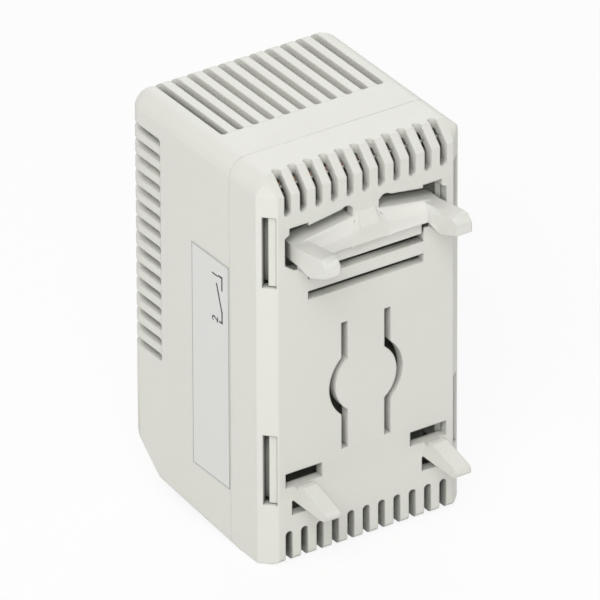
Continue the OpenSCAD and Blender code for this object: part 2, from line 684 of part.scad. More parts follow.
// Bimetal, contacts and strips
bimetal_low = 17.2;
rivet_z = 18.9;
rivet_x = 1.4;
rivet_r = 0.7;
rivet_head_r = 1.2;
rivet_head_t = 0.5;
rivet_gap = 0.08;
module each_rivet() for (x = [-rivet_x, rivet_x]) translate([bimetal_x + x, 0, rivet_z]) children();
module bimetal_strip() color([0.72, 0.68, 0.6]) lowered() difference() {
    span([bimetal_x - bimetal_w / 2, bimetal_back - bimetal_t, bimetal_low],
        [bimetal_x + bimetal_w / 2, bimetal_back, load_high]);
    each_rivet() rod_y(rivet_r + rivet_gap, bimetal_back - bimetal_t - over, bimetal_back + over);
}
module moving_contact() color("whitesmoke") lowered()
    rod_y(contact_r, bimetal_back, bimetal_back + contact_t, bimetal_x, contact_z);
module fixed_contact() color("whitesmoke") lowered()
    rod_y(contact_r, load_front - contact_t, load_front, bimetal_x, contact_z);
module strip_rivets() color("lightgrey") lowered() each_rivet() {
    rod_y(rivet_r, bimetal_back - bimetal_t - rivet_gap, bimetal_back + strip_t);
    rod_y(rivet_head_r, bimetal_back - bimetal_t - rivet_gap - rivet_head_t, bimetal_back - bimetal_t - rivet_gap);
}
module tab(x) span([x - tab_w / 2, tab_y, tab_low], [x + tab_w / 2, tab_y + strip_t, roof_z]);
module line_strip() color("peru") lowered() difference() {
    union() {
        tab(-terminal_x);
        span([-terminal_x - tab_w / 2, tab_y, strip_z], [bimetal_x + line_w / 2, bimetal_back + strip_t, roof_z]);
        span([bimetal_x - line_w / 2, bimetal_back, strip_z], [bimetal_x + line_w / 2, bimetal_back + strip_t, line_high]);
    }
    each_rivet() rod_y(rivet_r, bimetal_back - over, bimetal_back + strip_t + over);
}
module load_strip() color("peru") lowered() {
    tab(terminal_x);
    span([load_x - load_w / 2, tab_y, strip_z], [terminal_x + tab_w / 2, load_front + strip_t, roof_z]);
    span([load_x - load_w / 2, load_front, strip_z], [load_x + load_w / 2, load_front + strip_t, load_high]);
    span([bimetal_x - bimetal_w / 2, load_front, load_high - load_w + wall], [load_x, load_front + strip_t, load_high]);
}

// Terminals
screw_head_t = 1.7;
screw_front = chamber_front + soft_r / 4;
screw_slot_w = 0.8;
cage_wall = 1.1;
cage_side = 0.9;
cage_front = -28.9;
cage_depth = 5.7;
module terminal_screw() difference() {
    union() {
        rod_y(screw_head_r, screw_front, screw_front + screw_head_t, terminal_x, terminal_z);
        rod_y(screw_r, screw_front, tab_y - tip_gap, terminal_x, terminal_z);
    }
    span([terminal_x - screw_head_r, screw_front - over, terminal_z - screw_slot_w / 2],
        [terminal_x + screw_head_r, screw_front + screw_head_t / 2, terminal_z + screw_slot_w / 2]);
}
module clamp_cage() translate([terminal_x, 0, terminal_z]) difference() {
    span([-cage_w / 2, cage_front, -cage_h / 2], [cage_w / 2, cage_front + cage_depth, cage_h / 2]);
    span([-cage_w / 2 + cage_side, cage_front + cage_wall, -cage_h],
        [cage_w / 2 - cage_side, cage_front + cage_depth - cage_wall, cage_h]);
    rod_y(screw_r + run_gap, cage_front - over, cage_front + cage_wall + over);
}
module terminal_screw_1() color("silver") lowered() scale([-1, 1, 1]) terminal_screw();
module terminal_screw_2() color("silver") lowered() terminal_screw();
module clamp_cage_1() color("khaki") lowered() scale([-1, 1, 1]) clamp_cage();
module clamp_cage_2() color("khaki") lowered() clamp_cage();

module rating_label() color("white") lowered() span([half_w, -seam_d - tip_gap - label_w, label_z],
    [half_w + label_t, -seam_d - tip_gap, label_z + label_h]);

front_cover();
rear_base();
clip_arm_left();
clip_arm_right();
dial_knob();
adjusting_spindle();
spindle_bush();
inner_carrier();
setting_lever();
lever_pin();
setting_spring();
bimetal_strip();
moving_contact();
fixed_contact();
magnet();
strip_rivets();
line_strip();
load_strip();
terminal_screw_1();
terminal_screw_2();
clamp_cage_1();
clamp_cage_2();
rating_label();
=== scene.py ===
# %% [markdown]
# # A small thermostat that clips onto a rail
#
# The object is a switch in a moulded housing of two shells. Its back carries two hooks on springy arms and
# two fixed fingers, which hold a 35 mm rail between them, and its front carries a setting dial.
# The solids come packed from the drawing, in metres, with +Z up and the back facing +Y. This lesson gives
# them their finishes, adds the printing and the fine forms, and lights them as in a product picture.

import math

import bmesh
import bpy
from mathutils import Matrix, Vector


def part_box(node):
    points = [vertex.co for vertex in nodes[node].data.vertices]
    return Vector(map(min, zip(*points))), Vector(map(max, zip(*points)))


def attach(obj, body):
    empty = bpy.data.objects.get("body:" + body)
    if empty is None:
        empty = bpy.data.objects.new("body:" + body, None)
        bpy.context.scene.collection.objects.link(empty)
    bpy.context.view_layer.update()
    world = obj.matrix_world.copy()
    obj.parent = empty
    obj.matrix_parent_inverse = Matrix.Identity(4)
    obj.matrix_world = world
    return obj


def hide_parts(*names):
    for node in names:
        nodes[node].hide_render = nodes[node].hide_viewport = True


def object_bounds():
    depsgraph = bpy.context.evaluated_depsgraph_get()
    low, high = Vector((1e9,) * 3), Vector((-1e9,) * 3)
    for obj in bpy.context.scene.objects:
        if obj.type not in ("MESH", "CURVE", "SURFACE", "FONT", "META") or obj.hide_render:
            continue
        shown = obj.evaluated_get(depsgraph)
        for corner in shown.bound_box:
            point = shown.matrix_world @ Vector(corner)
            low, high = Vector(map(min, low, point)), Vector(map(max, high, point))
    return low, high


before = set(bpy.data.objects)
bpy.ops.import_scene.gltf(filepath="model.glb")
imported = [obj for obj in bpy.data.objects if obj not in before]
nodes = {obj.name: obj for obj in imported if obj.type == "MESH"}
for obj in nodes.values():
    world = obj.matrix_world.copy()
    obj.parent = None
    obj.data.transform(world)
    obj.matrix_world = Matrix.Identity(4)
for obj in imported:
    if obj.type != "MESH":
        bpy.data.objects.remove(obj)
cad_low, cad_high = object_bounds()
scene = bpy.context.scene
MM = 0.001
print("nodes", len(nodes), "box in mm", [round(v / MM, 2) for v in (*cad_low, *cad_high)])

# %% [markdown]
# ## The camera
#
# The picture was taken from above and behind, with a long lens from far away, so upright lines stay upright.
# A camera could be aimed at a target by a constraint, but three turns, a place and a focal length in pixels
# say exactly how it stood. The turns give three unit vectors, right, up and back, which are the columns of
# the camera's matrix.

# %% Place the camera
PICTURE, FOCAL = 600, 13989.6  # pixels
TURN, TILT, ROLL = 0.583056, 0.519010, -0.003557  # radians
CAMERA_PLACE = (0.918623, 1.376451, 0.953270)
NEAR_END, FAR_END = 0.1, 20
SENSOR_W = 36  # millimetres, as a camera's data has it
back = Vector((math.sin(TURN) * math.cos(TILT), math.cos(TURN) * math.cos(TILT), math.sin(TILT)))
level = Vector((-math.cos(TURN), math.sin(TURN), 0))
upward = back.cross(level)
right = level * math.cos(ROLL) + upward * math.sin(ROLL)
above = upward * math.cos(ROLL) - level * math.sin(ROLL)
facing = Matrix((right, above, back)).transposed().to_4x4()
camera = bpy.data.objects.new("camera", bpy.data.cameras.new("camera"))
scene.collection.objects.link(camera)
camera.matrix_world = Matrix.Translation(CAMERA_PLACE) @ facing
camera.data.sensor_width = SENSOR_W
camera.data.lens = FOCAL * SENSOR_W / PICTURE
camera.data.clip_start, camera.data.clip_end = NEAR_END, FAR_END
scene.camera = camera
print("camera distance", round(camera.location.length, 3), "m, lens", round(camera.data.lens), "mm")

# %% [markdown]
# ## A ground with no horizon
#
# A product picture has a white ground with no horizon. One white level for all rays would wash out the pale
# plastic, so the ground looks white to the camera and bright to reflections, but lights the object at a
# lower level. The Light Path node tells these rays apart. Its wiring is a function, because the world and
# the floor both need it, and so is each step of arithmetic in a node tree.

# %% Tell direct looks from lighting


def math_node(tree, operation, *feeds):
    """A math node whose inputs are fed by sockets or plain numbers."""
    step = tree.nodes.new("ShaderNodeMath")
    step.operation = operation
    for i, feed in enumerate(feeds):
        if isinstance(feed, (int, float)):
            step.inputs[i].default_value = feed
        else:
            tree.links.new(feed, step.inputs[i])
    return step.outputs[0]


def seen_directly(tree):
    """A value of 1 where the camera, a reflection or clear material looks straight at the surface."""
    path = tree.nodes.new("ShaderNodeLightPath").outputs
    either = math_node(tree, "MAXIMUM", path["Is Camera Ray"], path["Is Glossy Ray"])
    return math_node(tree, "MAXIMUM", either, path["Is Transmission Ray"])


def end_with_mix(tree, factor, lighting, looks, output):
    """Ends a tree with a mix of two shaders: the lighting at 0 and the looks at 1."""
    mix = tree.nodes.new("ShaderNodeMixShader")
    end = tree.nodes.new(output)
    tree.links.new(factor, mix.inputs[0])
    tree.links.new(lighting.outputs[0], mix.inputs[1])
    tree.links.new(looks.outputs[0], mix.inputs[2])
    tree.links.new(mix.outputs[0], end.inputs[0])


print("helpers for the world and the floor are ready")

# %% Make the world
FILL_COLOUR, FILL = (1.0, 1.0, 0.99, 1), 0.52
BRIGHT, PLAIN = (0.8, 0.8, 0.8, 1), 1.0
scene.view_settings.view_transform = "Standard"
world = bpy.data.worlds.new("studio")
scene.world = world
world.use_nodes = True
sky = world.node_tree
sky.nodes.clear()
fill, bright = [sky.nodes.new("ShaderNodeBackground") for _ in range(2)]
for shader, colour, strength in ((fill, FILL_COLOUR, FILL), (bright, BRIGHT, PLAIN)):
    shader.inputs["Color"].default_value = colour
    shader.inputs["Strength"].default_value = strength
end_with_mix(sky, seen_directly(sky), fill, bright, "ShaderNodeOutputWorld")
print("the world lights at", FILL)

# %% Lay the floor
PAPER, GLOW_SHARE = (0.86, 0.86, 0.85, 1), 0.88
FLOOR_HALF, FLOOR_GAP = 6, 0.2 * MM
paper = bpy.data.materials.new("paper")
paper.use_nodes = True
sheet = paper.node_tree
sheet.nodes.clear()
matt = sheet.nodes.new("ShaderNodeBsdfDiffuse")
matt.inputs["Color"].default_value = PAPER
glow = sheet.nodes.new("ShaderNodeEmission")
glow.inputs["Strength"].default_value = PLAIN
glowing = math_node(sheet, "MULTIPLY", seen_directly(sheet), GLOW_SHARE)
end_with_mix(sheet, glowing, matt, glow, "ShaderNodeOutputMaterial")

floor_form = bmesh.new()
bmesh.ops.create_grid(floor_form, x_segments=1, y_segments=1, size=FLOOR_HALF)
bmesh.ops.translate(floor_form, verts=floor_form.verts, vec=(0, 0, cad_low.z - FLOOR_GAP))
floor_mesh = bpy.data.meshes.new("floor")
floor_form.to_mesh(floor_mesh)
floor_form.free()
floor = bpy.data.objects.new("floor", floor_mesh)
floor_mesh.materials.append(paper)
scene.collection.objects.link(floor)
print("the floor lies", round(FLOOR_GAP / MM, 2), "mm under the lowest solid")

# %% [markdown]
# ## Lamps
#
# The top is the lightest face in the picture and every shadow is soft. A sun or a point lamp would draw hard
# shadows, so two square area lamps light the object: a strong one above the back, and a weaker one that
# fills the front.

# %% Hang the lamps


def softbox(name, towards, distance, size, watts):
    """A square lamp that looks at the object from a direction."""
    data = bpy.data.lights.new(name, "AREA")
    data.size, data.energy = size, watts
    lamp = bpy.data.objects.new(name, data)
    way = Vector(towards).normalized()
    aim = way.to_track_quat("Z", "Y").to_matrix().to_4x4()
    lamp.matrix_world = Matrix.Translation(way * distance) @ aim
    scene.collection.objects.link(lamp)


softbox("key", towards=(0.505, 0.505, 0.70), distance=0.6, size=0.35, watts=2.18)
softbox("front_fill", towards=(-0.5, -0.8, 0.5), distance=0.7, size=0.5, watts=1.2)

# %% [markdown]
# ## Shared effects
#
# A moulded part is never one flat colour. Grain, soft edges, marks of handling and dark recesses could be
# painted on each piece, but then no two pieces would match. Here each effect is a node group, built once and
# placed in every material with its own values. The groups read Object coordinates, in metres, so a size in
# millimetres becomes a noise scale of one metre over that size.

# %% Helpers for node groups
FLOAT, VECTOR = "NodeSocketFloat", "NodeSocketVector"
PER_MM = 1 / MM
HALF = 0.5  # the middle of a noise


def effect(name, inputs, outputs):
    """A new node group with named value inputs, the sockets that it takes and the sockets that it gives."""
    tree = bpy.data.node_groups.new(name, "ShaderNodeTree")
    for label, value in inputs.items():
        tree.interface.new_socket(label, in_out="INPUT", socket_type=FLOAT).default_value = value
    for label, kind in outputs.items():
        tree.interface.new_socket(label, in_out="OUTPUT", socket_type=kind)
    return tree, tree.nodes.new("NodeGroupInput").outputs, tree.nodes.new("NodeGroupOutput").inputs


def own_place(tree):
    """The place of the shaded point in its object."""
    return tree.nodes.new("ShaderNodeTexCoord").outputs["Object"]


def noise(tree, size, detail, place, density=1):
    """A noise whose grains are a size in millimetres, given by a socket."""
    step = tree.nodes.new("ShaderNodeTexNoise")
    step.inputs["Detail"].default_value = detail
    tree.links.new(place, step.inputs["Vector"])
    tree.links.new(math_node(tree, "DIVIDE", PER_MM * density, size), step.inputs["Scale"])
    return step.outputs["Fac"]


print("a size of 1 mm is a noise scale of", PER_MM)

# %% [markdown]
# ## The grain of the mould
#
# The mould is spark-eroded, which leaves a fine grain on the plastic, and the colour drifts a little across
# the part. A picture of the grain would show seams and repeats. Noise has neither, so a fine noise and a
# coarse one make the height, and the coarse one and a wide one shift the tint.

# %% Group: moulded grain
COARSE_DENSITY, COARSE_HEIGHT, SPECK_SHARE = 0.35, 0.6, 0.6
grain, takes, gives = effect("moulded_grain", {"Size": 0.12, "Drift": 0.03, "Drift Size": 14},
                             {"Height": FLOAT, "Tint": FLOAT})
place = own_place(grain)
fine = noise(grain, takes["Size"], 2, place)
coarse = noise(grain, takes["Size"], 3, place, COARSE_DENSITY)
wide = noise(grain, takes["Drift Size"], 2, place)
drift = math_node(grain, "MULTIPLY", math_node(grain, "SUBTRACT", wide, HALF), takes["Drift"])
speck_size = math_node(grain, "MULTIPLY", takes["Drift"], SPECK_SHARE)
speck = math_node(grain, "MULTIPLY", math_node(grain, "SUBTRACT", coarse, HALF), speck_size)
tint = math_node(grain, "ADD", math_node(grain, "ADD", drift, speck), 1)
grain.links.new(math_node(grain, "MULTIPLY_ADD", coarse, COARSE_HEIGHT, fine), gives["Height"])
grain.links.new(tint, gives["Tint"])
print("group", grain.name)

# %% [markdown]
# ## Soft edges
#
# No edge of a moulded or stamped part is quite sharp, and a handled edge is a little lighter. Bevels in the
# mesh would need clean edges, which a imported solid doesn't have. The Bevel node bends the normals near an
# edge instead. How far they turn from the true ones also tells where the edges are. The finishes lighten their
# colour there, partly for wear and partly as a painted highlight along the edge.

# %% Group: soft edges
EDGE_SAMPLES = 6
edges, takes, gives = effect("soft_edges", {"Radius": 0.2, "Gain": 3}, {"Normal": VECTOR, "Edge": FLOAT})
soft = edges.nodes.new("ShaderNodeBevel")
soft.samples = EDGE_SAMPLES
edges.links.new(math_node(edges, "MULTIPLY", takes["Radius"], MM), soft.inputs["Radius"])
agreement = edges.nodes.new("ShaderNodeVectorMath")
agreement.operation = "DOT_PRODUCT"
edges.links.new(soft.outputs[0], agreement.inputs[0])
edges.links.new(edges.nodes.new("ShaderNodeNewGeometry").outputs["Normal"], agreement.inputs[1])
bend = math_node(edges, "SUBTRACT", 1, agreement.outputs["Value"])
limit = edges.nodes.new("ShaderNodeClamp")
edges.links.new(math_node(edges, "MULTIPLY", bend, takes["Gain"]), limit.inputs[0])
edges.links.new(soft.outputs[0], gives["Normal"])
edges.links.new(limit.outputs[0], gives["Edge"])
print("group", edges.name)

# %% [markdown]
# ## Handling
#
# Fingers polish a surface in patches. A painted mask could show them, but a noise with much detail, centred
# on zero, does it on every piece. It is added to the roughness.

# %% Group: handling
wear, takes, gives = effect("handling", {"Amount": 0.1, "Size": 3}, {"Mask": FLOAT})
patch = noise(wear, takes["Size"], 6, own_place(wear))
centred = math_node(wear, "SUBTRACT", patch, HALF)
wear.links.new(math_node(wear, "MULTIPLY", centred, takes["Amount"]), gives["Mask"])
print("group", wear.name)

# %% [markdown]
# ## Painted shade in recesses
#
# The vents and slots of the real object look dark, because little light finds its way in and out. More
# shadow from the lamps alone would darken the faces too. The Ambient Occlusion node tells how closed in a
# point is, and a smooth step turns that into a mask that only deep places reach. The finishes darken their
# colour by that mask, so the dark of the vents is painted shade.

# %% Group: painted shade in recesses
RECESS_SAMPLES = 8
recess, takes, gives = effect("recess", {"Reach": 11, "Open": 0.38, "Closed": 0.06}, {"Mask": FLOAT})
hollow = recess.nodes.new("ShaderNodeAmbientOcclusion")
hollow.samples = RECESS_SAMPLES
recess.links.new(math_node(recess, "MULTIPLY", takes["Reach"], MM), hollow.inputs["Distance"])
ramp = recess.nodes.new("ShaderNodeMapRange")
ramp.interpolation_type = "SMOOTHSTEP"
recess.links.new(hollow.outputs["AO"], ramp.inputs["Value"])
recess.links.new(takes["Open"], ramp.inputs["From Min"])
recess.links.new(takes["Closed"], ramp.inputs["From Max"])
recess.links.new(ramp.outputs["Result"], gives["Mask"])
print("group", recess.name)

# %% [markdown]
# ## The roots of the arms
#
# On the real object each arm of the clip grows out of the web in one piece. Here the arms are solids of
# their own that turn about one axis, and soft edges would draw a line where they meet the web. The meshes
# could be joined, but then the arms couldn't move. So a ring about that axis, at the back of the object,
# marks where a finish keeps the true normals. Its sizes are in millimetres.

# %% Group: arm root
BACK_FROM = -0.3 * MM
arm_root, takes, gives = effect("arm_root", {"Radius": 3.23, "Height": 18.66, "Band": 0.5}, {"Mask": FLOAT})
split = arm_root.nodes.new("ShaderNodeSeparateXYZ")
arm_root.links.new(own_place(arm_root), split.inputs[0])
height = math_node(arm_root, "MULTIPLY", split.outputs["Z"], PER_MM)
rise = math_node(arm_root, "SUBTRACT", height, takes["Height"])
aside = math_node(arm_root, "MULTIPLY", split.outputs["X"], PER_MM)
squares = [math_node(arm_root, "POWER", math_node(arm_root, "ABSOLUTE", leg), 2) for leg in (rise, aside)]
distance = math_node(arm_root, "SQRT", math_node(arm_root, "ADD", *squares))
off_ring = math_node(arm_root, "ABSOLUTE", math_node(arm_root, "SUBTRACT", distance, takes["Radius"]))
near = math_node(arm_root, "LESS_THAN", off_ring, takes["Band"])
at_back = math_node(arm_root, "GREATER_THAN", split.outputs["Y"], BACK_FROM)
arm_root.links.new(math_node(arm_root, "MULTIPLY", near, at_back), gives["Mask"])
print("group", arm_root.name)

# %% [markdown]
# ## Lines of rolling and drawing
#
# Strip and wire carry fine lines along their length. An anisotropic shader could hint at them, but a noise
# that a Mapping node stretches along Z shows them as real relief.

# %% Group: drawn lines
STRETCH = (1, 1, 0.04)
drawn, takes, gives = effect("drawn_lines", {"Width": 0.06}, {"Height": FLOAT})
stretch = drawn.nodes.new("ShaderNodeMapping")
stretch.inputs["Scale"].default_value = STRETCH
drawn.links.new(own_place(drawn), stretch.inputs["Vector"])
drawn.links.new(noise(drawn, takes["Width"], 2, stretch.outputs[0]), gives["Height"])
print("group", drawn.name)

# %% [markdown]
# ## Finishes
#
# Every finish starts from the same recipe: a colour that drifts, lighter at the edges from wear and a painted
# highlight and nearly black deep in recesses from painted shade, a roughness that varies with handling, and a
# bump over normals that round the edges off.
# Each could have a node tree drawn by hand, but one recipe keeps them alike. Plastics take the grain of the
# mould, and some metals the drawn lines. Plain numbers go straight to the shader.

# %% Write the recipe
# Painted shade: deep hollows darken a colour to this share of it.
DEEP_SHADE = 0.03  # what a recess leaves of the colour


def put(tree, group, **values):
    """A node group placed in a material with its own values."""
    step = tree.nodes.new("ShaderNodeGroup")
    step.node_tree = group
    for label, value in values.items():
        step.inputs[label].default_value = value
    return step.outputs


def mix_towards(tree, colour, goal, factor):
    """A colour that goes over into a plain one as a factor grows."""
    mix = tree.nodes.new("ShaderNodeMix")
    mix.data_type = "RGBA"
    mix.inputs["B"].default_value = (*goal, 1)
    tree.links.new(colour, mix.inputs["A"])
    tree.links.new(factor, mix.inputs["Factor"])
    return mix.outputs["Result"]


def true_at_roots(tree, normal):
    """Normals that are the true ones round the roots of the arms."""
    mix = tree.nodes.new("ShaderNodeMix")
    mix.data_type = "VECTOR"
    tree.links.new(put(tree, arm_root)["Mask"], mix.inputs["Factor"])
    tree.links.new(normal, mix.inputs[4])
    tree.links.new(tree.nodes.new("ShaderNodeNewGeometry").outputs["Normal"], mix.inputs[5])
    return mix.outputs[1]


def finish(name, colour, rough, metal=0.0, size=0.12, bump=0.02, drift=0.03, radius=0.2, rub=0.15, lift=1.12,
           varied=0.1, rolled=False, deep=0.0, rooted=False):
    """A material for one of the object's own substances, with its sizes in millimetres."""
    material = bpy.data.materials.new(name)
    material.use_nodes = True
    tree = material.node_tree
    shader = tree.nodes["Principled BSDF"]
    shader.inputs["Metallic"].default_value = metal
    surface = put(tree, grain, Size=size, Drift=drift)
    edge = put(tree, edges, Radius=radius)
    tinted = tree.nodes.new("ShaderNodeVectorMath")
    tinted.operation = "SCALE"
    tinted.inputs[0].default_value = colour
    tree.links.new(surface["Tint"], tinted.inputs["Scale"])
    # Lighter edges: partly wear from handling, partly a painted highlight along the rounded edge.
    lighter = [min(c * lift, 1) for c in colour]
    rubbed = mix_towards(tree, tinted.outputs[0], lighter, math_node(tree, "MULTIPLY", edge["Edge"], rub))
    # Painted shade: the colour goes towards near black where the ambient occlusion mask finds deep hollows.
    painted_shade = math_node(tree, "MULTIPLY", put(tree, recess)["Mask"], deep)
    shaded = mix_towards(tree, rubbed, [c * DEEP_SHADE for c in colour], painted_shade)
    tree.links.new(shaded, shader.inputs["Base Color"])
    polish = put(tree, wear, Amount=varied)["Mask"]
    tree.links.new(math_node(tree, "ADD", polish, rough), shader.inputs["Roughness"])
    relief = tree.nodes.new("ShaderNodeBump")
    relief.inputs["Distance"].default_value = bump * MM
    relief.inputs["Strength"].default_value = 1.0
    tree.links.new(put(tree, drawn)["Height"] if rolled else surface["Height"], relief.inputs["Height"])
    normal = true_at_roots(tree, edge["Normal"]) if rooted else edge["Normal"]
    tree.links.new(normal, relief.inputs["Normal"])
    tree.links.new(relief.outputs[0], shader.inputs["Normal"])
    return material


print("a deep recess leaves", DEEP_SHADE, "of a colour")

# %% Mix the plastics and the inks
shell_plastic = finish("shell_plastic", (0.715, 0.715, 0.665), 0.46, size=0.16, bump=0.012, drift=0.035,
                       radius=0.3, deep=0.85, rooted=True)
clip_plastic = finish("clip_plastic", (0.735, 0.735, 0.69), 0.40, size=0.18, bump=0.008, radius=0.3, deep=0.85,
                      rooted=True)
dial_plastic = finish("dial_plastic", (0.80, 0.80, 0.77), 0.42, size=0.14, bump=0.010)
carrier_plastic = finish("carrier_plastic", (0.27, 0.26, 0.235), 0.5, size=0.2, bump=0.015, deep=0.6)
label_film = finish("label_film", (0.705, 0.712, 0.69), 0.36, size=0.3, bump=0.004, drift=0.015, radius=0.05,
                    varied=0.05)
ferrite = finish("ferrite", (0.10, 0.10, 0.11), 0.6, size=0.1, radius=0.1, rub=0.3, lift=1.8)
ink = finish("ink", (0.045, 0.046, 0.05), 0.55, size=0.1, bump=0.004, radius=0.03, rub=0.05, varied=0.2)
line_ink = finish("line_ink", (0.40, 0.41, 0.41), 0.5, size=0.1, bump=0.004, radius=0.03, rub=0.05)
print("plastics", [m.name for m in (shell_plastic, clip_plastic, dial_plastic, carrier_plastic, label_film)])

# %% Mix the metals


def metal_finish(name, colour, rough, **values):
    """A finish for a metal, with the fine relief and the rubbed edges that most of them share."""
    # Metal edges are lighter partly from wear and partly by a painted highlight.
    return finish(name, colour, rough, metal=1.0, **{"bump": 0.004, "rub": 0.4, **values})


spindle_brass = metal_finish("spindle_brass", (0.78, 0.58, 0.28), 0.28, radius=0.08, rolled=True)
zinc_steel = metal_finish("zinc_steel", (0.62, 0.62, 0.60), 0.3, radius=0.1, rub=0.5, varied=0.2)
spring_steel = metal_finish("spring_steel", (0.50, 0.50, 0.52), 0.3, bump=0.002, radius=0.05, rub=0.15,
                            rolled=True)
bimetal_finish = metal_finish("bimetal_finish", (0.60, 0.55, 0.47), 0.33, radius=0.06, rolled=True)
contact_silver = metal_finish("contact_silver", (0.88, 0.87, 0.84), 0.18, bump=0.002, radius=0.1)
copper_strip = metal_finish("copper_strip", (0.66, 0.43, 0.30), 0.36, radius=0.08, rolled=True)
cage_plate = metal_finish("cage_plate", (0.70, 0.68, 0.62), 0.27, radius=0.1)
print("metals", [m.name for m in (spindle_brass, zinc_steel, spring_steel, bimetal_finish, contact_silver,
                                  copper_strip, cage_plate)])

# %% Put the finishes on the solids
worn_by = {
    shell_plastic: ["front_cover", "rear_base"],
    clip_plastic: ["clip_arm_left", "clip_arm_right"],
    dial_plastic: ["dial_knob"],
    carrier_plastic: ["inner_carrier"],
    label_film: ["rating_label"],
    spindle_brass: ["adjusting_spindle", "spindle_bush"],
    zinc_steel: ["setting_lever", "lever_pin", "strip_rivets", "terminal_screw_1", "terminal_screw_2"],
    spring_steel: ["setting_spring"],
    bimetal_finish: ["bimetal_strip"],
    contact_silver: ["moving_contact", "fixed_contact"],
    ferrite: ["magnet"],
    copper_strip: ["line_strip", "load_strip"],
    cage_plate: ["clamp_cage_1", "clamp_cage_2"],
}
for material, names in worn_by.items():
    for name in names:
        mesh = nodes[name].data
        if not mesh.materials:
            mesh.materials.append(material)
        for i in range(len(mesh.materials)):
            mesh.materials[i] = material
print("finished", sum(len(names) for names in worn_by.values()), "of", len(nodes), "nodes")

# %% [markdown]
# ## Copies that stand for solids
#
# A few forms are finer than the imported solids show. A solid mustn't be changed, but a piece may stand for it.
# That piece could be modelled anew, but a copied mesh keeps every slot and rib of the solid. Its points are
# joined first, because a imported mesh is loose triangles, and planes may cut it where it will curve. Weighted
# normals then let flat faces look flat next to the round ones.

# %% Helpers for copies
WELD = 0.0005 * MM
LARGEST_FACE = 4  # corners, past which a face is split into triangles


def as_mesh(form, name):
    """Closes a bmesh into a mesh."""
    bmesh.ops.recalc_face_normals(form, faces=form.faces)
    mesh = bpy.data.meshes.new(name)
    form.to_mesh(mesh)
    form.free()
    return mesh


def cut_copy(name, cuts=()):
    """A solid's mesh with its points joined and cut by planes."""
    form = bmesh.new()
    form.from_mesh(nodes[name].data)
    bmesh.ops.remove_doubles(form, verts=form.verts, dist=WELD)
    for spot, out in cuts:
        everything = form.verts[:] + form.edges[:] + form.faces[:]
        bmesh.ops.bisect_plane(form, geom=everything, dist=WELD, plane_co=spot, plane_no=out)
    bmesh.ops.triangulate(form, faces=[f for f in form.faces if len(f.verts) > LARGEST_FACE])
    for face in form.faces:
        face.smooth = True
    mesh = bpy.data.meshes.new(name + "_form")
    form.to_mesh(mesh)
    form.free()
    mesh.materials.append(nodes[name].data.materials[0])
    return mesh


def stand_in(name, mesh, body, sharp_from):
    """The piece that stands for a solid. Edges over so many degrees stay sharp and flat faces stay flat."""
    obj = bpy.data.objects.new(name + "_form", mesh)
    scene.collection.objects.link(obj)
    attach(obj, body)
    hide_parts(name)
    mesh.set_sharp_from_angle(angle=math.radians(sharp_from))
    shading = obj.modifiers.new("flat faces stay flat", "WEIGHTED_NORMAL")
    shading.keep_sharp = True


def moved(mesh, move):
    """A mesh whose points have been moved by a function."""
    for vert in mesh.vertices:
        vert.co = move(vert.co)
    mesh.update()
    return mesh


print("points closer than", WELD / MM, "mm are joined")

# %% [markdown]
# ## The cover's top corners
#
# The front cover's edges are round, and a moulded corner between three of them is part of a ball. In the
# solid the three rounds meet in a blunt point there. A bevel of the corner would leave seams, so each point
# that stands out of the ball moves straight in onto it. The edges between the top and the sides are a little
# less round than the others, so the ball grows towards them.

# %% Round the cover's corners
ROUND_R, TOP_EDGE_R = 3 * MM, 2.7 * MM
COVER_SHARP = 30
CUT_ANGLES = range(0, 61, 12)
cover_low, cover_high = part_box("front_cover")
ball_x, ball_y, ball_z = cover_high.x - ROUND_R, cover_low.y + ROUND_R, cover_high.z - ROUND_R
top_edge_gain = (ROUND_R - TOP_EDGE_R) * (math.sqrt(2) - 1)


def rounded(co):
    """A point of the cover, moved in where it stands out of the ball in its corner."""
    if abs(co.x) <= ball_x or co.y >= ball_y or co.z <= ball_z:
        return co
    ball = Vector((math.copysign(ball_x, co.x), ball_y, ball_z))
    out = co - ball
    reach = ROUND_R + top_edge_gain * (1 + out.y / ROUND_R)
    return ball + out * min(1, reach / out.length)


cover_cuts = []
for degrees in CUT_ANGLES:
    step = ROUND_R * math.sin(math.radians(degrees))
    cover_cuts += [((ball_x + step, 0, 0), (1, 0, 0)), ((-ball_x - step, 0, 0), (1, 0, 0)),
                   ((0, ball_y - step, 0), (0, 1, 0)), ((0, 0, ball_z + step), (0, 0, 1))]
stand_in("front_cover", moved(cut_copy("front_cover", cover_cuts), rounded), "housing", COVER_SHARP)
print("cover rounded by", round(ROUND_R / MM, 2), "mm")

# %% [markdown]
# ## The arms of the clip
#
# The nose of each hook has small flats, and the arm's root lies close round the web with no gap. New arms
# could be modelled, but moving the points of a copy is enough: those on the nose's round go to the corners
# and flats of an octagon, and those that face the web go onto its rim.

# %% Shape the hooks and close the roots
ROOT_AXIS_Z, ROOT_R, WEB_HALF = 18.66 * MM, 3.2 * MM, 2.1 * MM
RIM_GAP, WEB_GAP, RIM_SLACK = 0.1 * MM, 0.5 * MM, 0.2 * MM
NOSE_Y, NOSE_Z, NOSE_R = 6.25 * MM, 19.35 * MM, 1.75 * MM
NOSE_SLACK, NOSE_FROM = 0.03 * MM, -0.3 * MM
FLAT_TURN, CORNERS, CORNER_PULL = 45, (-22.5, 22.5, 67.5), 14  # degrees
ARM_SHARP = 25


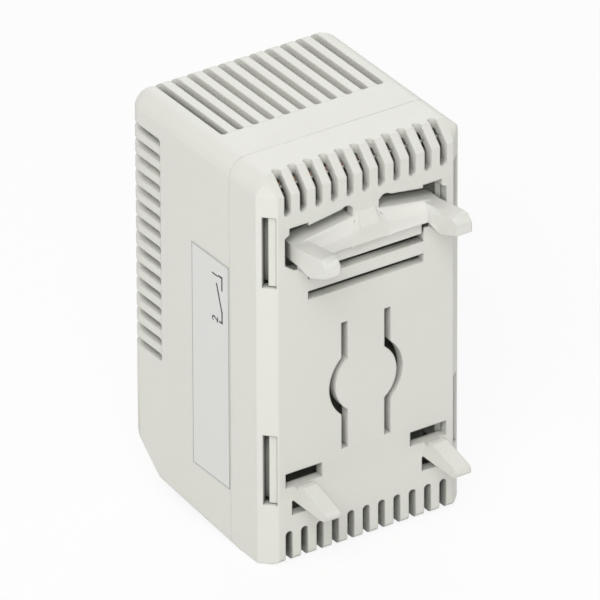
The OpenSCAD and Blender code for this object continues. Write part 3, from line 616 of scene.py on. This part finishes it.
def faceted(co):
    """A point on the round nose of a hook, moved onto the flats that the moulded nose has."""
    y, z = co.y - NOSE_Y, co.z - NOSE_Z
    if abs(math.hypot(y, z) - NOSE_R) > NOSE_SLACK or y < NOSE_FROM:
        return co
    degrees = math.degrees(math.atan2(z, y))
    for corner in CORNERS:
        if abs(degrees - corner) < CORNER_PULL:
            degrees = corner
    flat = round(degrees / FLAT_TURN) * FLAT_TURN
    reach = NOSE_R / math.cos(math.radians(degrees - flat))
    angle = math.radians(degrees)
    return Vector((co.x, NOSE_Y + reach * math.cos(angle), NOSE_Z + reach * math.sin(angle)))


def closed(co):
    """A point of an arm, moved onto the web's rim where it faces it."""
    co = faceted(co)
    out = Vector((co.x, 0, co.z - ROOT_AXIS_Z))
    if ROOT_R < out.length < ROOT_R + RIM_GAP:
        out = out * (ROOT_R / out.length)
        return Vector((out.x, co.y, out.z + ROOT_AXIS_Z))
    if abs(co.x) < WEB_HALF + WEB_GAP and out.length > ROOT_R - RIM_SLACK:
        return Vector((math.copysign(WEB_HALF, co.x), co.y, co.z))
    return co


for arm in ("clip_arm_left", "clip_arm_right"):
    stand_in(arm, moved(cut_copy(arm), closed), arm, ARM_SHARP)
print("arms closed onto the web")

# %% [markdown]
# ## The vents over the top edge
#
# The vents at the back run over the bevel and end on the top in a round. Cutting them by hand would need the
# rear base's whole mesh, so a boolean modifier takes that last stretch out of a copy. The cutters are prisms
# drawn from above, one for each vent.

# %% Run the rear vents onto the top
VENT_PITCH, VENT_W, VENT_COUNT = 2.54 * MM, 1.155 * MM, 11
VENT_FROM, VENT_TO = -2.4 * MM, -3.5 * MM
VENT_FLOOR, OVER, ARC_STEPS = 28.3 * MM, 1 * MM, 12
REAR_SHARP = 14


def prism(form, outline, low, high):
    """Adds to a bmesh a prism over an outline of (x, y) points."""
    face = form.faces.new([form.verts.new((x, y, low)) for x, y in outline])
    grown = bmesh.ops.extrude_face_region(form, geom=[face])["geom"]
    raised = [v for v in grown if isinstance(v, bmesh.types.BMVert)]
    bmesh.ops.translate(form, verts=raised, vec=(0, 0, high - low))


def vent_outline(middle):
    """The outline of one vent's last stretch, seen from above, with its round end."""
    r = VENT_W / 2
    outline = [(middle + r, VENT_FROM), (middle - r, VENT_FROM)]
    for i in range(ARC_STEPS + 1):
        angle = math.pi * (1 + i / ARC_STEPS)
        outline.append((middle + r * math.cos(angle), VENT_TO + r + r * math.sin(angle)))
    return outline


cutters = bmesh.new()
for k in range(VENT_COUNT):
    prism(cutters, vent_outline((k - (VENT_COUNT - 1) / 2) * VENT_PITCH), VENT_FLOOR, cad_high.z + OVER)
before = bpy.data.objects.new("before", cut_copy("rear_base"))
cutter = bpy.data.objects.new("cutter", as_mesh(cutters, "cutter"))
for obj in (before, cutter):
    scene.collection.objects.link(obj)
cut = before.modifiers.new("vents", "BOOLEAN")
cut.operation, cut.solver, cut.object = "DIFFERENCE", "EXACT", cutter
vented = bpy.data.meshes.new_from_object(before.evaluated_get(bpy.context.evaluated_depsgraph_get()))
for obj in (before, cutter):
    bpy.data.objects.remove(obj)
stand_in("rear_base", vented, "housing", REAR_SHARP)
print("vents run on", VENT_COUNT, "faces", len(vented.polygons))

# %% [markdown]
# ## Printing
#
# The scale round the dial, the mark on the dial and the lines on the side label are printed. A print could be
# a picture in a material, but its edges would blur close by. Here it is a film of ink some hundredths of a
# millimetre thick. Each print is made flat, as a text or as thin bars, and is then laid onto its face by a
# matrix whose columns are the face's right, up and outward directions.

# %% Helpers for prints
INK_T = 0.03 * MM
CURVE_STEPS = 6


def lay(mesh, origin, across, up):
    """Moves a flat mesh, drawn in x and y, onto a face."""
    across, up = Vector(across), Vector(up)
    onto = Matrix((across, up, across.cross(up))).transposed().to_4x4()
    mesh.transform(Matrix.Translation(origin) @ onto)
    mesh.update()


def piece(name, mesh, body, material):
    """A new object of the model, with its place in its mesh, that rides on a body."""
    obj = bpy.data.objects.new(name, mesh)
    if not mesh.materials:
        mesh.materials.append(material)
    scene.collection.objects.link(obj)
    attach(obj, body)


def word(text, size):
    """A flat number of ink, centred on its own middle."""
    curve = bpy.data.curves.new("print", "FONT")
    curve.body, curve.size, curve.extrude = text, size, INK_T / 2
    curve.align_x, curve.align_y = "CENTER", "CENTER"
    curve.resolution_u = CURVE_STEPS
    holder = bpy.data.objects.new("print", curve)
    mesh = bpy.data.meshes.new_from_object(holder)
    bpy.data.objects.remove(holder)
    mesh.transform(Matrix.Translation((0, 0, INK_T / 2)))
    return mesh


def bar(form, start, end, width):
    """Adds a thin bar of ink from start to end to a bmesh."""
    start, end = Vector((*start, 0)), Vector((*end, 0))
    along = end - start
    turned = Matrix.Rotation(math.atan2(along.y, along.x), 3, "Z")
    made = bmesh.ops.create_cube(form, size=1)["verts"]
    bmesh.ops.scale(form, vec=(along.length + width, width, INK_T), verts=made)
    bmesh.ops.rotate(form, verts=made, cent=(0, 0, 0), matrix=turned)
    bmesh.ops.translate(form, verts=made, vec=(start + end) / 2 + Vector((0, 0, INK_T / 2)))


def join(meshes):
    """One mesh from several."""
    form = bmesh.new()
    for mesh in meshes:
        form.from_mesh(mesh)
        bpy.data.meshes.remove(mesh)
    joined = bpy.data.meshes.new("joined")
    form.to_mesh(joined)
    form.free()
    return joined


print("ink is", INK_T / MM, "mm thick")

# %% [markdown]
# ## The scale round the dial
#
# The dial turns through 300 degrees from 0 to 60. The numbers stand on the front face around the dial's
# recess, clockwise from the lower left, with a long tick at every number and short ones between. Numbers and
# ticks could each be a piece, but they are one print, so they are joined.

# %% Print the scale
SWEEP, TOP_VALUE, NUMBER_STEP, TICK_STEP = 300, 60, 10, 2
NUMBER_R, NUMBER_SIZE, TICK_R = 12.15 * MM, 2.3 * MM, 9.75 * MM
LONG_TICK, SHORT_TICK = (0.9 * MM, 0.22 * MM), (0.45 * MM, 0.14 * MM)
FRONT_RIGHT, UP = (1, 0, 0), (0, 0, 1)
dial_low, dial_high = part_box("dial_knob")
dial_z = (dial_low.z + dial_high.z) / 2
front_y = cover_low.y


def on_dial(value, radius):
    """The place of a setting on a circle round the dial, as seen from the front."""
    angle = math.radians(-SWEEP / 2 + SWEEP * value / TOP_VALUE)
    return Vector((math.sin(angle), math.cos(angle))) * radius


prints = []
for value in range(0, TOP_VALUE + 1, NUMBER_STEP):
    number = word(str(value), NUMBER_SIZE)
    number.transform(Matrix.Translation((*on_dial(value, NUMBER_R), 0)))
    prints.append(number)
ticks = bmesh.new()
for value in range(0, TOP_VALUE + 1, TICK_STEP):
    length, width = LONG_TICK if value % NUMBER_STEP == 0 else SHORT_TICK
    bar(ticks, on_dial(value, TICK_R), on_dial(value, TICK_R + length), width)
prints.append(as_mesh(ticks, "ticks"))
scale_mesh = join(prints)
lay(scale_mesh, (0, front_y, dial_z), FRONT_RIGHT, UP)
piece("dial_scale_print", scale_mesh, "housing", ink)
print("scale numbers", len(range(0, TOP_VALUE + 1, NUMBER_STEP)))

# %% [markdown]
# ## The mark on the dial
#
# A small triangle on the dial points at the setting. It could be cut into the knob, but it is printed like
# the scale, as a low prism of ink. It rides on the dial and turns with it.

# %% Print the mark on the dial
MARK_TIP_R, MARK_FOOT_R, MARK_HALF = 8.3 * MM, 6.2 * MM, 0.9 * MM
mark = bmesh.new()
tip, foot = on_dial(0, MARK_TIP_R), on_dial(0, MARK_FOOT_R)
sideways = Vector((-(tip - foot).y, (tip - foot).x)).normalized() * MARK_HALF
prism(mark, (tip, foot + sideways, foot - sideways), 0, INK_T)
mark_mesh = as_mesh(mark, "dial_mark")
lay(mark_mesh, (0, dial_low.y, dial_z), FRONT_RIGHT, UP)
piece("dial_mark_print", mark_mesh, "dial", ink)
print("mark at setting 0, which is the rest pose")

# %% [markdown]
# ## The side label
#
# The label lies in the side near the seam. Its place is kept bare but for the sign of a switch between two
# numbered terminals, as the terminals themselves are numbered. The thin line round it is the gap at its rim,
# which could be a groove in the solid, but a line of grey ink is enough for a film so thin.

# %% Print the sign on the label
SIGN_W, SIGN_DIGIT = 0.26 * MM, 2.1 * MM
LEAD_1, CONTACT, PIVOT, LEAD_2 = 32.5, 30.55, 27.1, 25.4  # mm up from the label's lower edge
LINE, LEAD_1_END, LEAD_2_END, DIGITS = 1.55, 2.3, 2.1, 3.2  # mm forwards from the label's edge at the seam
LEVER_FOOT, LEVER_TIP = (PIVOT, 1.6), (31.0, 2.87)
SIGN_DIGITS = {"1": (32.3, DIGITS), "2": (LEAD_2, DIGITS)}
UPWARDS, FORWARDS = (0, 0, 1), (0, -1, 0)
label_low, label_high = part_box("rating_label")
label_corner = (label_high.x, label_high.y, label_low.z)


def on_label(spot):
    """A place on the label, given in millimetres up from its lower edge and forwards from its seam edge."""
    return Vector(spot) * MM


sign = bmesh.new()
for start, end in (((LEAD_1, LEAD_1_END), (LEAD_1, LINE)), ((LEAD_1, LINE), (CONTACT, LINE)),
                   (LEVER_TIP, LEVER_FOOT), ((PIVOT, LINE), (LEAD_2, LINE)),
                   ((LEAD_2, LINE), (LEAD_2, LEAD_2_END))):
    bar(sign, on_label(start), on_label(end), SIGN_W)
sign_parts = [as_mesh(sign, "sign")]
for text, spot in SIGN_DIGITS.items():
    digit = word(text, SIGN_DIGIT)
    digit.transform(Matrix.Translation((*on_label(spot), 0)))
    sign_parts.append(digit)
sign_mesh = join(sign_parts)
lay(sign_mesh, label_corner, UPWARDS, FORWARDS)
piece("label_sign_print", sign_mesh, "housing", ink)
print("sign of", len(sign_parts), "parts")

# %% Print the rim of the label
RIM_W = 0.10 * MM
label_h, label_w = (label_high.z - label_low.z) / MM, (label_high.y - label_low.y) / MM
corners = [(0, 0), (label_h, 0), (label_h, label_w), (0, label_w)]
rim = bmesh.new()
for start, end in zip(corners, corners[1:] + corners[:1]):
    bar(rim, on_label(start), on_label(end), RIM_W)
rim_mesh = as_mesh(rim, "label_rim")
lay(rim_mesh, label_corner, UPWARDS, FORWARDS)
piece("label_rim_print", rim_mesh, "housing", line_ink)
print("label", round(label_w, 1), "by", round(label_h, 1), "mm")

# %% [markdown]
# ## Terminal numbers
#
# Each screw hole has its terminal's number beside it. It could be raised in the plastic, but it is printed
# like the scale, so that both read as one design.

# %% Number the terminals
TERMINAL_DIGIT, TERMINAL_RISE = 2.4 * MM, 2.2 * MM
for text, screw in (("1", "terminal_screw_1"), ("2", "terminal_screw_2")):
    low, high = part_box(screw)
    digit = word(text, TERMINAL_DIGIT)
    lay(digit, ((low.x + high.x) / 2, front_y, high.z + TERMINAL_RISE), FRONT_RIGHT, UP)
    piece("terminal_number_" + text, digit, "housing", ink)
print("terminals numbered")
